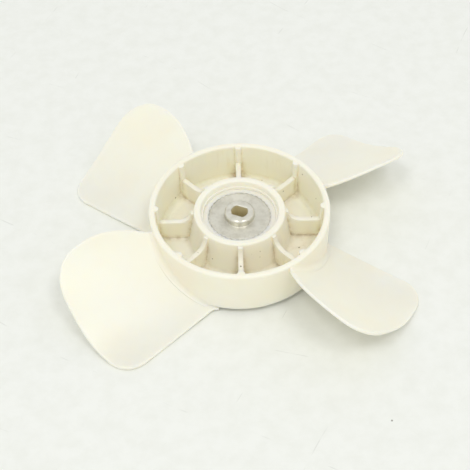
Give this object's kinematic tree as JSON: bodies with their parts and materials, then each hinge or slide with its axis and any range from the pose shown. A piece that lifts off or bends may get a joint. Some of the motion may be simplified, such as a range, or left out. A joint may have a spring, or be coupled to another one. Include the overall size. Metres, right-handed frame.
{
  "type": "axial fan impeller",
  "caption": "Moulded axial fan wheel: open cup-shaped drum with ribs, twisted blades in two opposite pairs, and a metal insert whose bore has two flats.",
  "frame": {"origin": "on the wheel's axis, at the level of the blades' lowest corners, on which it rests", "axes": "+Z along the axis, towards the drum's open side; X along one of the ribs"},
  "size_m": [0.1676, 0.1478, 0.0318],
  "materials": {
    "ivory_plastic": "semi-gloss moulded, natural colour, slightly translucent",
    "turned_aluminium": "turned, dull"
  },
  "bodies": {
    "root": {"impeller": "ivory_plastic", "hub_insert": "turned_aluminium"}
  },
  "joints": []
}
